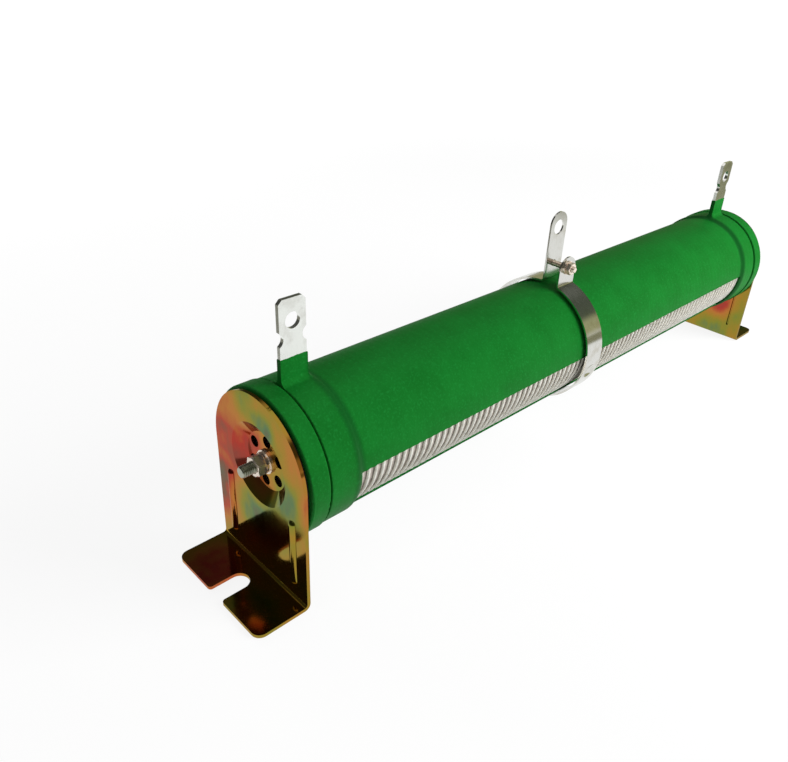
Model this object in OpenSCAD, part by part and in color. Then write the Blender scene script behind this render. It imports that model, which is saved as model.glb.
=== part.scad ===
// Adjustable tubular wirewound resistor on two pressed brackets.
// X runs along the tube, the bare strip of wire faces -Y, Z is up and the feet stand on Z = 0.

/* [Tube] */
// Length of the ceramic tube
tube_l = 366; // [300:1:440]
// Outer diameter of the ceramic tube
tube_d = 56; // [50:0.5:64]
// Diameter of the tube's bore
tube_bore_d = 35; // [33:0.5:40]
// Height of the tube's axis above the feet
axis_h = 54; // [48:0.5:70]

/* [Winding] */
// Diameter of the resistance wire
wire_d = 1.4; // [1:0.1:1.8]
// Distance from one turn to the next
wire_pitch = 3.85; // [3:0.05:6]
// Depth of the groove that holds the wire
wire_bed = 0.3; // [0.2:0.05:0.5]
// Bare length between the last turn and the terminal strap
wire_end_gap = 2.5; // [1:0.1:4]

/* [Enamel] */
// Thickness of the enamel over the tube
enamel_t = 2; // [1.6:0.1:3]
// Height of the end collars above the enamel
collar_rise = 1.5; // [1.1:0.1:3]
// Length of an end collar
collar_l = 8.5; // [6:0.5:9.5]
// Width of the groove between collar and strap
collar_groove_w = 0.7; // [0.4:0.1:1.2]
// Height of the enamel over a terminal strap above the enamel
shoulder_rise = 1; // [0.8:0.1:2]
// Length of the slope from a strap's shoulder down to the enamel
shoulder_slope_l = 4; // [2.2:0.1:5]
// Rounding of the shoulder's edge at the groove
shoulder_edge_r = 0.5; // [0.2:0.1:0.8]
// Rounding of the collar's edges
collar_edge_r = 0.8; // [0.4:0.1:1]
// Width of the bare strip, along the curve of the enamel
strip_w = 25.2; // [16:0.1:28]
// Angle of the strip's middle below the front
strip_angle = 23; // [10:1:40]
// Thickness of the enamel on a lug
lug_coat_t = 0.25; // [0.15:0.05:0.5]
// Height of the enamel on a lug above the tube's enamel
lug_coat_rise = 11.3; // [6:0.1:12]
// Fillet of the enamel at the root of a lug
lug_coat_fillet = 3; // [1.5:0.5:4]

/* [Terminals] */
// Thickness of the terminal strap
strap_t = 0.9; // [0.6:0.1:1]
// Width of the terminal strap and its lug
strap_w = 12; // [10:0.5:12.5]
// Distance from the tube's end to the middle of the strap
strap_inset = 15.5; // [15.5:0.5:24]
// Bend where the strap turns up into its lug
strap_bend_r = 1.2; // [0.8:0.1:1.5]
// Height of the lug's top above the enamel
lug_rise = 35; // [32:0.1:40]
// Chamfer of the lug's top corners
lug_chamfer = 1.6; // [1:0.1:3]
// Diameter of the lug's hole
lug_hole_d = 6.6; // [5:0.1:8]
// Distance from the lug's top to its hole
lug_hole_drop = 8.8; // [6.5:0.1:9.5]
// Distance from the lug's top to the middle of its side notches
lug_notch_drop = 15.5; // [14.8:0.1:16]
// Radius of the side notches
lug_notch_r = 3.2; // [2.5:0.1:3.4]
// Depth of the side notches
lug_notch_depth = 1.7; // [1:0.1:2.4]

/* [Brackets] */
// Thickness of the bracket sheet
plate_t = 1.5; // [1.2:0.1:2]
// Width of the bracket
bracket_w = 59; // [56:0.5:64]
// Height of the arch's centre above the tube's axis
arch_rise = 1; // [0:0.1:3]
// Length of the foot outside the upright plate
foot_l = 23.5; // [21:0.5:32]
// Inner radius of the bend between plate and foot
bracket_bend_r = 1.5; // [1:0.1:2]
// Radius of the foot's corners
foot_corner_r = 4; // [2:0.5:6]
// Width of the open slot in the foot
slot_w = 9; // [6.5:0.1:11]
// Depth of the slot from the foot's edge
slot_l = 15.4; // [10:0.1:17]
// Radius of the corners at the slot's mouth
slot_mouth_r = 1.5; // [0.5:0.1:2.5]
// Depth of the pressed dish
dish_depth = 4; // [2.5:0.1:4.5]
// Slope of the dish's wall
dish_wall_angle = 37; // [32:1:42]
// Number of vents round the rod
vent_count = 6; // [5:1:7]
// Diameter of a vent
vent_d = 5; // [3:0.1:5.2]
// Margin between a vent and the dish's wall
vent_margin = 0.8; // [0.1:0.1:1.2]
// Turn of the first vent above the front
vent_turn = 24; // [0:1:60]
// Width of a stiffening bead
bead_w = 4; // [3.5:0.1:5]
// Height of a stiffening bead
bead_h = 1.2; // [1:0.1:1.4]
// Distance from the bracket's side to a bead's middle
bead_inset = 8.5; // [6:0.1:8.5]
// Distance from the tube's axis down to a bead's top
bead_drop = 14; // [13:0.5:24]
// Height of a bead's lower end above the floor
bead_foot = 8; // [7:0.5:14]

/* [Gaskets and tie rod] */
// Thickness of the gasket between bracket and tube
gasket_t = 1; // [0.6:0.1:1.6]
// Distance from the bracket's side in to the gasket's edge
gasket_inset = 0.5; // [0:0.1:3]
// Diameter of the tie rod
rod_d = 5; // [4:0.5:6]
// Length of thread past the nut
rod_end_l = 5.5; // [2:0.1:8]
// Width of the rod's nut across its flats
nut_w = 8; // [7.5:0.5:9]
// Height of the rod's nut
nut_h = 4; // [3:0.1:5]
// Outer diameter of the flat washer
washer_d = 10; // [9:0.5:10.5]
// Thickness of the flat washer
washer_t = 1; // [0.6:0.1:1.4]
// Outer diameter of the lock washer
lock_washer_d = 8.6; // [7.8:0.1:9]
// Thickness of the lock washer
lock_washer_t = 1.3; // [0.9:0.1:1.8]
// Gap in the lock washer, as an angle
lock_washer_gap = 15; // [8:1:25]

/* [Slider] */
// Turn of wire that the slider stands on, counted from the middle
slider_turn = -2; // [-36:1:36]
// Width of the slider's strap
slider_w = 12.5; // [11:0.5:14]
// Thickness of the slider's strap
slider_t = 0.9; // [0.7:0.1:1.1]
// Clearance between strap and enamel
slider_clear = 1.3; // [1.1:0.1:2]
// Bend where the strap turns up
slider_bend_r = 1.2; // [0.8:0.1:1.6]
// Gap between ear and lug
ear_gap = 7.7; // [6.5:0.1:10]
// Height of the ear's top above the enamel
ear_rise = 15.5; // [13.5:0.1:16.5]
// Height of the slider's lug above the enamel
slider_lug_rise = 36; // [32:0.1:42]
// Diameter of the hole in the slider's lug
slider_hole_d = 7.4; // [5:0.1:8]
// Distance from the slider's lug top to its hole
slider_hole_drop = 7.6; // [6.3:0.1:9]
// Diameter of the pressed contact at the strap
contact_d = 8; // [7:0.1:9]
// Angle of the contact below the front
contact_angle = 17; // [12:1:30]
// Clearance between contact and wire
contact_gap = 0.3; // [0.2:0.05:0.5]
// Diameter of the clamp screw
screw_d = 3; // [2.5:0.5:4]
// Height of the clamp screw above the enamel
screw_rise = 10; // [9.5:0.1:10.5]
// Diameter of the clamp screw's head
screw_head_d = 5.6; // [5:0.1:7]
// Height of the clamp screw's head
screw_head_h = 2.2; // [1.6:0.1:3]
// Width of the slot in the screw's head
screw_slot_w = 0.8; // [0.6:0.1:1.2]
// Depth of the slot in the screw's head
screw_slot_h = 0.9; // [0.6:0.1:1.2]
// Length of thread past the clamp nut
screw_end_l = 1.4; // [0.5:0.1:4]
// Width of the clamp nut across its flats
clamp_nut_w = 5.5; // [5.5:0.1:7]
// Height of the clamp nut
clamp_nut_h = 2.4; // [2:0.1:3.2]
// Outer diameter of the clamp washer
clamp_washer_d = 7; // [6.4:0.1:8.5]
// Thickness of the clamp washer
clamp_washer_t = 0.5; // [0.4:0.1:1]

/* [Fits] */
// Radial clearance round the rod and the screw
rod_clear = 0.25; // [0.1:0.05:0.4]
// Radial clearance in the nuts' threads
thread_clear = 0.05; // [0.02:0.01:0.1]
// Clearance between dish and bore, and between dish and gasket
dish_clear = 0.5; // [0.3:0.1:1]

/* [Hidden] */
$fn = 96;

GREEN = "#1f7a2c";
WIRE = "#d9d2c2";
CLAY = "#a49c8c";
GOLD = "#b08a3c";
TIN = "#cfd2cf";
STEEL = "#9a9d92";
MICA = "#2a2622";

// Length of a cutter past the face that it cuts
past = 1;
// Flats round the section of a turn of wire
wire_sides = 12;
// Diameter of a nut's flat end, as a share of its width, and the angle of the chamfer round it
nut_face_share = 0.96;
nut_chamfer_angle = 30;
// Chamfer at the ends of a thread, as a share of its diameter
thread_chamfer_share = 0.1;
// Depth to which a fillet's circle sinks into the two faces that it runs out on
fillet_bite = 0.05;

// Tube, enamel and winding
tube_r = tube_d / 2;
bore_r = tube_bore_d / 2;
enamel_r = tube_r + enamel_t;
collar_r = enamel_r + collar_rise;
shoulder_r = enamel_r + shoulder_rise;
half_tube = tube_l / 2;
strap_x = half_tube - strap_inset;
strap_inner_x = strap_x - strap_w / 2;
collar_x = half_tube - collar_l;
shoulder_x = collar_x - collar_groove_w;
groove_floor_r = shoulder_r - collar_groove_w;
slope_high_x = strap_inner_x - lug_coat_t;
slope_low_x = slope_high_x - shoulder_slope_l;
slope_arc_r = (pow(shoulder_slope_l, 2) + pow(shoulder_rise, 2)) / (4 * shoulder_rise);
turn_count = floor(2 * (strap_inner_x - wire_end_gap) / wire_pitch) + 1;
turn_span = (turn_count - 1) * wire_pitch;
wire_ring_r = tube_r + wire_d / 2 - wire_bed;
wire_top_r = wire_ring_r + wire_d / 2;
strip_l = turn_span + wire_d;
strip_span = strip_w / enamel_r * 180 / PI;

// Terminal lugs, measured from the tube's axis
lug_top = enamel_r + lug_rise;
lug_hole_z = lug_top - lug_hole_drop;
lug_notch_z = lug_top - lug_notch_drop;
lug_coat_top = enamel_r + lug_coat_rise;
strap_r = tube_r + strap_t;

// Brackets, measured outwards from the tube's end
plate_inner_x = half_tube + gasket_t;
plate_outer_x = plate_inner_x + plate_t;
foot_edge_x = plate_outer_x + foot_l;
bend_outer_r = bracket_bend_r + plate_t;
bend_x = plate_outer_x + bracket_bend_r;
arch_z = axis_h + arch_rise;
fold_shift = plate_t * tan(dish_wall_angle / 2);
dish_rim_r = bore_r - dish_clear + gasket_t / tan(dish_wall_angle) - fold_shift;
dish_floor_r = dish_rim_r - dish_depth / tan(dish_wall_angle);
dish_floor_x = plate_outer_x - dish_depth;
vent_ring_r = dish_floor_r - vent_d / 2 - vent_margin;
gasket_bore_r = dish_rim_r + fold_shift + dish_clear;
gasket_r = bracket_w / 2 - gasket_inset;
bead_r = (pow(bead_w / 2, 2) + pow(bead_h, 2)) / (2 * bead_h);
bead_x = plate_outer_x + bead_h - bead_r;
bead_y = bracket_w / 2 - bead_inset;

// Rod hardware, stacked outwards from the dish's floor
rod_r = rod_d / 2;
washer_x = dish_floor_x;
lock_washer_x = washer_x + washer_t;
nut_x = lock_washer_x + lock_washer_t;
rod_end_x = nut_x + nut_h + rod_end_l;

// Slider, measured from the tube's axis
slider_x = slider_turn * wire_pitch;
slider_in_r = enamel_r + slider_clear;
slider_out_r = slider_in_r + slider_t;
slider_lug_top = enamel_r + slider_lug_rise;
slider_hole_z = slider_lug_top - slider_hole_drop;
ear_top = enamel_r + ear_rise;
lug_face_y = slider_t / 2;
ear_back_y = -slider_t / 2 - ear_gap;
ear_face_y = ear_back_y - slider_t;
contact_tip_r = wire_top_r + contact_gap;
contact_depth = slider_in_r - contact_tip_r;
contact_r = (pow(contact_d / 2, 2) + pow(contact_depth, 2)) / (2 * contact_depth);
screw_r = screw_d / 2;
screw_z = enamel_r + screw_rise;
clamp_nut_y = ear_face_y - clamp_washer_t;
screw_tip_y = clamp_nut_y - clamp_nut_h - screw_end_l;

// Places children, drawn round their own Z, along the tube's axis
module on_axis() {
    translate([0, 0, axis_h]) rotate([0, 90, 0]) children();
}

// Stands a flat outline of Y and Z up across the tube, from x over a width
module across_tube(x, width) {
    translate([x, 0, 0]) rotate([90, 0, 90]) linear_extrude(width) children();
}

// Stands a flat outline of X and Z up facing the front, from y over a depth towards the back
module facing_front(y, depth) {
    translate([0, y + depth, 0]) rotate([90, 0, 0]) linear_extrude(depth) children();
}

// Draws children at the right end, or mirrored at the left
module at_end(side) {
    if (side > 0) children();
    else mirror([1, 0, 0]) children();
}

// Half section of a ring: radii against the distance along the axis
module ring_2d(r_in, r_out, x0, x1) {
    translate([r_in, x0]) square([r_out - r_in, x1 - x0]);
}

// Half sections of every turn of wire
module turns_2d() {
    for (i = [0 : turn_count - 1])
        translate([wire_ring_r, i * wire_pitch - turn_span / 2]) circle(wire_d / 2, $fn = wire_sides);
}

// Half section of a band of enamel whose outer edges are round
module round_ring_2d(r_out, edge_r, x0, x1) {
    ring_2d(tube_r, r_out - edge_r, x0, x1);
    ring_2d(tube_r, r_out, x0 + edge_r, x1 - edge_r);
    for (x = [x0 + edge_r, x1 - edge_r])
        translate([r_out - edge_r, x]) circle(edge_r);
}

// Half section of the slope from a shoulder down to the enamel: a hollow arc that runs into a round one
module slope_2d() {
    middle_x = (slope_low_x + slope_high_x) / 2;
    middle_r = (enamel_r + shoulder_r) / 2;
    difference() {
        ring_2d(tube_r, middle_r, slope_low_x, middle_x);
        translate([enamel_r + slope_arc_r, slope_low_x]) circle(slope_arc_r);
    }
    ring_2d(tube_r, middle_r, middle_x, slope_high_x);
    intersection() {
        ring_2d(middle_r, shoulder_r, middle_x, slope_high_x);
        translate([shoulder_r - slope_arc_r, slope_high_x]) circle(slope_arc_r);
    }
}

// Half section of one end's collar, groove and strap shoulder, drawn for the right end
module collar_2d() {
    round_ring_2d(collar_r, collar_edge_r, collar_x, half_tube);
    ring_2d(tube_r, groove_floor_r, shoulder_x, collar_x);
    round_ring_2d(shoulder_r, shoulder_edge_r, slope_high_x, shoulder_x);
    ring_2d(tube_r, shoulder_r, slope_high_x, strap_x);
    slope_2d();
}

// Neck on a disc: stands between two upright faces, which run out on the disc with fillets
module neck_2d(r, front_y, back_y, fillet, top) {
    reach = fillet - fillet_bite;
    low_y = front_y - reach;
    high_y = back_y + reach;
    low_z = sqrt(pow(r + reach, 2) - pow(low_y, 2));
    high_z = sqrt(pow(r + reach, 2) - pow(high_y, 2));
    translate([front_y, 0]) square([back_y - front_y, top]);
    difference() {
        polygon([[low_y, low_z], [high_y, high_z], [0, 0]]);
        translate([low_y, low_z]) circle(fillet);
        translate([high_y, high_z]) circle(fillet);
    }
}

// What is cut from a terminal lug, seen from the front: hole, side notches and top corners
module lug_cuts_2d() {
    half_w = strap_w / 2;
    translate([0, lug_hole_z]) circle(d = lug_hole_d);
    for (side = [0, 1])
        mirror([side, 0]) {
            translate([half_w + lug_notch_r - lug_notch_depth, lug_notch_z]) circle(lug_notch_r);
            polygon([
                [half_w - lug_chamfer - past, lug_top + past],
                [half_w + past, lug_top + past],
                [half_w + past, lug_top - lug_chamfer - past]
            ]);
        }
}

// Strap round the tube whose two ends turn up back to back into a double lug
module terminal_strap(x, inner_r) {
    translate([x, 0, axis_h]) difference() {
        union() {
            across_tube(-strap_w / 2, strap_w) circle(strap_r);
            across_tube(-strap_w / 2, strap_w) neck_2d(strap_r, -strap_t, strap_t, strap_bend_r, lug_top);
        }
        across_tube(-strap_w / 2 - past, strap_w + 2 * past) circle(inner_r);
        facing_front(-2 * strap_t, 4 * strap_t) lug_cuts_2d();
    }
}

// Enamel round the lower part of a lug
module lug_coat(x) {
    half_t = strap_t + lug_coat_t;
    width = strap_w + 2 * lug_coat_t;
    translate([x, 0, axis_h]) across_tube(-width / 2, width) difference() {
        neck_2d(shoulder_r, -half_t, half_t, lug_coat_fillet, lug_coat_top);
        circle(strap_r);
    }
}

// Bead with round ends, pressed out of the plate, of a given radius
module bead(y, r) {
    low = bead_foot + bead_w / 2;
    high = axis_h - bead_drop - bead_w / 2;
    translate([bead_x, y, low]) cylinder(r = r, h = high - low);
    for (z = [low, high])
        translate([bead_x, y, z]) sphere(r);
}

// Outline of the upright plate above the bend
module plate_2d() {
    translate([-bracket_w / 2, bend_outer_r]) square([bracket_w, arch_z - bend_outer_r]);
    translate([0, arch_z]) circle(bracket_w / 2);
}

// Outline of the foot: round outer corners and an open slot with a round end
module foot_2d() {
    mouth_y = slot_w / 2 + slot_mouth_r;
    difference() {
        union() {
            translate([bend_x, -bracket_w / 2])
                square([foot_edge_x - foot_corner_r - bend_x, bracket_w]);
            translate([foot_edge_x - foot_corner_r, foot_corner_r - bracket_w / 2])
                square([foot_corner_r, bracket_w - 2 * foot_corner_r]);
            for (side = [-1, 1])
                translate([foot_edge_x - foot_corner_r, side * (bracket_w / 2 - foot_corner_r)])
                    circle(foot_corner_r);
        }
        translate([foot_edge_x - slot_l + slot_w / 2, -slot_w / 2])
            square([slot_l, slot_w]);
        translate([foot_edge_x - slot_l + slot_w / 2, 0]) circle(d = slot_w);
        for (side = [-1, 1])
            difference() {
                translate([foot_edge_x - slot_mouth_r, side > 0 ? 0 : -mouth_y])
                    square([slot_mouth_r + past, mouth_y]);
                translate([foot_edge_x - slot_mouth_r, side * mouth_y]) circle(slot_mouth_r);
            }
    }
}

// Quarter bend between plate and foot
module bend_2d() {
    intersection() {
        difference() {
            circle(bend_outer_r);
            circle(bracket_bend_r);
        }
        translate([-bend_outer_r, -bend_outer_r]) square(bend_outer_r);
    }
}

// Half section of the dish, as a sheet of even thickness: radius against distance from the tube's middle
module dish_2d() {
    polygon([
        [0, dish_floor_x],
        [dish_floor_r, dish_floor_x],
        [dish_rim_r, plate_outer_x],
        [dish_rim_r + fold_shift + past, plate_outer_x],
        [dish_rim_r + fold_shift + past, plate_inner_x],
        [dish_rim_r + fold_shift, plate_inner_x],
        [dish_floor_r + fold_shift, dish_floor_x - plate_t],
        [0, dish_floor_x - plate_t]
    ]);
}

// Pressed bracket: upright plate with arch, dish, vents and beads, and a slotted foot
module bracket(side) {
    color(GOLD) at_end(side) difference() {
        union() {
            difference() {
                across_tube(plate_inner_x, plate_t) plate_2d();
                on_axis() translate([0, 0, plate_inner_x - past])
                    cylinder(r = dish_rim_r + fold_shift, h = plate_t + 2 * past);
            }
            on_axis() rotate_extrude() dish_2d();
            for (y = [-bead_y, bead_y])
                intersection() {
                    bead(y, bead_r);
                    translate([plate_inner_x, -bracket_w / 2, 0]) cube([bracket_w, bracket_w, 2 * axis_h]);
                }
            facing_front(-bracket_w / 2, bracket_w) translate([bend_x, bend_outer_r]) bend_2d();
            linear_extrude(plate_t) foot_2d();
        }
        for (y = [-bead_y, bead_y])
            bead(y, bead_r - plate_t);
        on_axis() translate([0, 0, dish_floor_x - plate_t - past]) {
            cylinder(r = rod_r + rod_clear, h = plate_t + 2 * past);
            for (i = [0 : vent_count - 1])
                rotate(-90 - vent_turn - i * 360 / vent_count) translate([vent_ring_r, 0])
                    cylinder(d = vent_d, h = plate_t + 2 * past);
        }
    }
}

// Hexagon nut drawn up its own Z, chamfered at both ends, with a plain bore
module hex_nut(width, height, bore) {
    corner_r = width / sqrt(3);
    face_r = width / 2 * nut_face_share;
    chamfer = (corner_r - face_r) * tan(nut_chamfer_angle);
    difference() {
        intersection() {
            cylinder(r = corner_r, h = height, $fn = 6);
            rotate_extrude() polygon([
                [0, 0],
                [face_r, 0],
                [corner_r, chamfer],
                [corner_r, height - chamfer],
                [face_r, height],
                [0, height]
            ]);
        }
        translate([0, 0, -past]) cylinder(r = bore, h = height + 2 * past);
    }
}

// Round rod drawn up its own Z with chamfered ends
module round_rod(r, z0, z1) {
    chamfer = 2 * r * thread_chamfer_share;
    rotate_extrude() polygon([
        [0, z0],
        [r - chamfer, z0],
        [r, z0 + chamfer],
        [r, z1 - chamfer],
        [r - chamfer, z1],
        [0, z1]
    ]);
}

// Section of the slider's strap: the round part and its two turned-up ends, as an even sheet
module slider_2d() {
    difference() {
        union() {
            circle(slider_out_r);
            neck_2d(slider_out_r, ear_face_y, lug_face_y, slider_bend_r, slider_lug_top);
        }
        circle(slider_in_r);
        neck_2d(slider_in_r, ear_back_y, -lug_face_y, slider_bend_r + slider_t, slider_lug_top + past);
    }
}

// Front view of a slider's upright: round top
module round_top_2d(top) {
    translate([-slider_w / 2, -2 * slider_out_r])
        square([slider_w, 2 * slider_out_r + top - slider_w / 2]);
    translate([0, top - slider_w / 2]) circle(slider_w / 2);
}

// Runs along the clamp screw's axis, towards the front, from a given y
module on_screw(y) {
    translate([slider_x, y, axis_h + screw_z]) rotate([90, 0, 0]) children();
}

module ceramic_tube() {
    color(CLAY) on_axis() rotate_extrude() difference() {
        ring_2d(bore_r, tube_r, -half_tube, half_tube);
        turns_2d();
    }
}

module resistance_wire() {
    color(WIRE) on_axis() rotate_extrude() turns_2d();
}

module enamel_coating() {
    color(GREEN) difference() {
        union() {
            on_axis() rotate_extrude() difference() {
                union() {
                    ring_2d(tube_r, enamel_r, -slope_low_x, slope_low_x);
                    for (side = [0, 1])
                        mirror([0, side]) collar_2d();
                }
                turns_2d();
            }
            for (x = [-strap_x, strap_x])
                lug_coat(x);
        }
        for (x = [-strap_x, strap_x])
            terminal_strap(x, tube_r - past);
        on_axis() rotate(-90 + strip_angle - strip_span / 2) rotate_extrude(angle = strip_span)
            ring_2d(tube_r - past, enamel_r + past, -strip_l / 2, strip_l / 2);
    }
}

module terminal_band(side) {
    color(TIN) terminal_strap(side * strap_x, tube_r);
}

module gasket(side) {
    color(MICA) at_end(side) on_axis() rotate_extrude()
        ring_2d(gasket_bore_r, gasket_r, half_tube, plate_inner_x);
}

module tie_rod() {
    color(STEEL) on_axis() round_rod(rod_r, -rod_end_x, rod_end_x);
}

module flat_washer(side) {
    color(STEEL) at_end(side) on_axis() rotate_extrude()
        ring_2d(rod_r + rod_clear, washer_d / 2, washer_x, lock_washer_x);
}

module lock_washer(side) {
    color(STEEL) at_end(side) on_axis() rotate(lock_washer_gap / 2)
        rotate_extrude(angle = 360 - lock_washer_gap)
            ring_2d(rod_r + rod_clear, lock_washer_d / 2, lock_washer_x, nut_x);
}

module rod_nut(side) {
    color(STEEL) at_end(side) on_axis() translate([0, 0, nut_x])
        hex_nut(nut_w, nut_h, rod_r + thread_clear);
}

module slider_band() {
    color(TIN) difference() {
        translate([slider_x, 0, axis_h]) difference() {
            union() {
                intersection() {
                    across_tube(-slider_w / 2, slider_w) slider_2d();
                    union() {
                        facing_front(ear_back_y + slider_t, 2 * slider_out_r) round_top_2d(slider_lug_top);
                        facing_front(-2 * slider_out_r, 2 * slider_out_r + ear_back_y + slider_t)
                            round_top_2d(ear_top);
                    }
                }
                rotate([contact_angle, 0, 0]) intersection() {
                    translate([0, -contact_tip_r - contact_r, 0]) sphere(contact_r);
                    rotate([0, 90, 0])
                        cylinder(r = slider_in_r + slider_t / 2, h = slider_w, center = true);
                }
            }
            rotate([contact_angle, 0, 0]) translate([0, -contact_tip_r - contact_r, 0])
                sphere(contact_r - slider_t);
            facing_front(-slider_t, 2 * slider_t) translate([0, slider_hole_z]) circle(d = slider_hole_d);
        }
        on_screw(lug_face_y + past)
            cylinder(r = screw_r + rod_clear, h = lug_face_y - ear_face_y + 2 * past);
    }
}

module slider_screw() {
    color(STEEL) {
        on_screw(0) round_rod(screw_r, -lug_face_y, -screw_tip_y);
        on_screw(lug_face_y + screw_head_h) difference() {
            cylinder(d = screw_head_d, h = screw_head_h);
            translate([-screw_head_d, -screw_slot_w / 2, -past])
                cube([2 * screw_head_d, screw_slot_w, screw_slot_h + past]);
        }
    }
}

module slider_washer() {
    color(STEEL) on_screw(ear_face_y) rotate_extrude()
        ring_2d(screw_r + rod_clear, clamp_washer_d / 2, 0, clamp_washer_t);
}

module slider_nut() {
    color(STEEL) on_screw(clamp_nut_y) hex_nut(clamp_nut_w, clamp_nut_h, screw_r + thread_clear);
}

ceramic_tube();
resistance_wire();
enamel_coating();
terminal_band(-1);  // terminal_band_left
terminal_band(1);  // terminal_band_right
gasket(-1);  // gasket_left
gasket(1);  // gasket_right
bracket(-1);  // bracket_left
bracket(1);  // bracket_right
tie_rod();
flat_washer(-1);  // flat_washer_left
flat_washer(1);  // flat_washer_right
lock_washer(-1);  // lock_washer_left
lock_washer(1);  // lock_washer_right
rod_nut(-1);  // hex_nut_left
rod_nut(1);  // hex_nut_right
slider_band();
slider_screw();
slider_washer();
slider_nut();
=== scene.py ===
"""Looks of an adjustable tubular wirewound resistor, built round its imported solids.

Lengths are metres in the solids' own frame: X runs along the tube, the bare strip of wire faces -Y,
Z is up and the feet stand on the floor at Z = 0. An angle round the tube is measured from the front,
upwards, in radians.
"""

import logging
import math
from abc import ABC, abstractmethod
from dataclasses import dataclass
from enum import Enum
from typing import Any, Mapping, Optional, Sequence, Union

import bpy
from mathutils import Matrix, Vector, noise


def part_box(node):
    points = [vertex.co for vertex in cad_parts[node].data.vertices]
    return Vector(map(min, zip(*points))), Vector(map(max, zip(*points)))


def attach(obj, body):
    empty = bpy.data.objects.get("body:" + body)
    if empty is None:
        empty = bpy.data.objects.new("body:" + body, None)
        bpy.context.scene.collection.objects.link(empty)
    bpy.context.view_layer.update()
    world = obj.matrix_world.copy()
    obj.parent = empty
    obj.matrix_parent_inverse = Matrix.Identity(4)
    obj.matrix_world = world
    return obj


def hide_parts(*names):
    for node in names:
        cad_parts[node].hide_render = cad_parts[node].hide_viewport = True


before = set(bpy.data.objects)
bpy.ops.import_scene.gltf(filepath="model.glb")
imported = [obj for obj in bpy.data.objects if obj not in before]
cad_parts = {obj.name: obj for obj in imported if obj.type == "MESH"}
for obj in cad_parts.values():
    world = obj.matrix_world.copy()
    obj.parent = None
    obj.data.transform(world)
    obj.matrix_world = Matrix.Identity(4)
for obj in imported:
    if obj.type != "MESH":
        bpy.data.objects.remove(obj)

LOG = logging.getLogger("resistor")
MM = 0.001
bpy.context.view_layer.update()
PLATE_X = 185 * MM

# Limits start and end a ramp, a Stop is a place and a colour, a Pool a middle, a reach and a depth.
Colour = tuple[float, float, float]
Limits = tuple[float, float]
Stop = tuple[float, Colour]
Pool = tuple[Colour, float, float]


class Body(Enum):
    """Rigid bodies that a piece can ride on."""

    RESISTOR = "resistor"
    SLIDER = "slider"


class Slot(Enum):
    """Material slots."""

    WIRE = "wire"
    ENAMEL = "enamel"
    HARDWARE = "hardware"
    SLIDER = "slider"
    SCREW = "screw"


class End(Enum):
    """Ends of the tube, with the sign of their X."""

    LEFT = -1
    RIGHT = 1

    @property
    def suffix(self) -> str:
        """Ending of the end's node names."""
        return self.name.lower()


class Signal:
    """One output socket of a node, whose arithmetic adds Math nodes to the same tree."""

    def __init__(self, graph: "Graph", socket: bpy.types.NodeSocket) -> None:
        """Wrap a socket.

        Args:
            graph: Tree that the socket belongs to.
            socket: Output socket to wrap.
        """
        self.graph = graph
        self.socket = socket

    def out(self, name: str) -> "Signal":
        """Another output of the same node."""
        return Signal(self.graph, self.socket.node.outputs[name])

    def math(self, operation: str, *operands: "Operand") -> "Signal":
        """Add a Math node.

        Args:
            operation: Name of the node's operation.
            operands: What goes into its sockets after this signal.

        Returns:
            The node's value.
        """
        sockets = dict(enumerate((self, *operands)))
        return self.graph.add("ShaderNodeMath", {"operation": operation}, sockets)

    def __add__(self, other: "Operand") -> "Signal":
        """Sum."""
        return self.math("ADD", other)

    def __radd__(self, other: "Operand") -> "Signal":
        """Sum with a number on the left."""
        return self.math("ADD", other)

    def __sub__(self, other: "Operand") -> "Signal":
        """Difference."""
        return self.math("SUBTRACT", other)

    def __rsub__(self, other: "Operand") -> "Signal":
        """Difference from a number on the left."""
        return (self * -1.0).math("ADD", other)

    def __mul__(self, other: "Operand") -> "Signal":
        """Product."""
        return self.math("MULTIPLY", other)

    def __rmul__(self, other: "Operand") -> "Signal":
        """Product with a number on the left."""
        return self.math("MULTIPLY", other)

    def __abs__(self) -> "Signal":
        """Value without its sign."""
        return self.math("ABSOLUTE")

    def sine(self) -> "Signal":
        """Sine of the value, in radians."""
        return self.math("SINE")

    def at_least(self, other: "Operand") -> "Signal":
        """Greater of the value and another."""
        return self.math("MAXIMUM", other)

    def ramp(self, low: float, high: float) -> "Signal":
        """Smooth step from 0 at low to 1 at high.

        Args:
            low: Value that gives 0.
            high: Value that gives 1.

        Returns:
            The stepped value.
        """
        return self.graph.add(
            "ShaderNodeMapRange", {"interpolation_type": "SMOOTHSTEP"},
            {"Value": self, "From Min": low, "From Max": high},
        )


Operand = Union[Signal, float, int, Sequence[float]]


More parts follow.
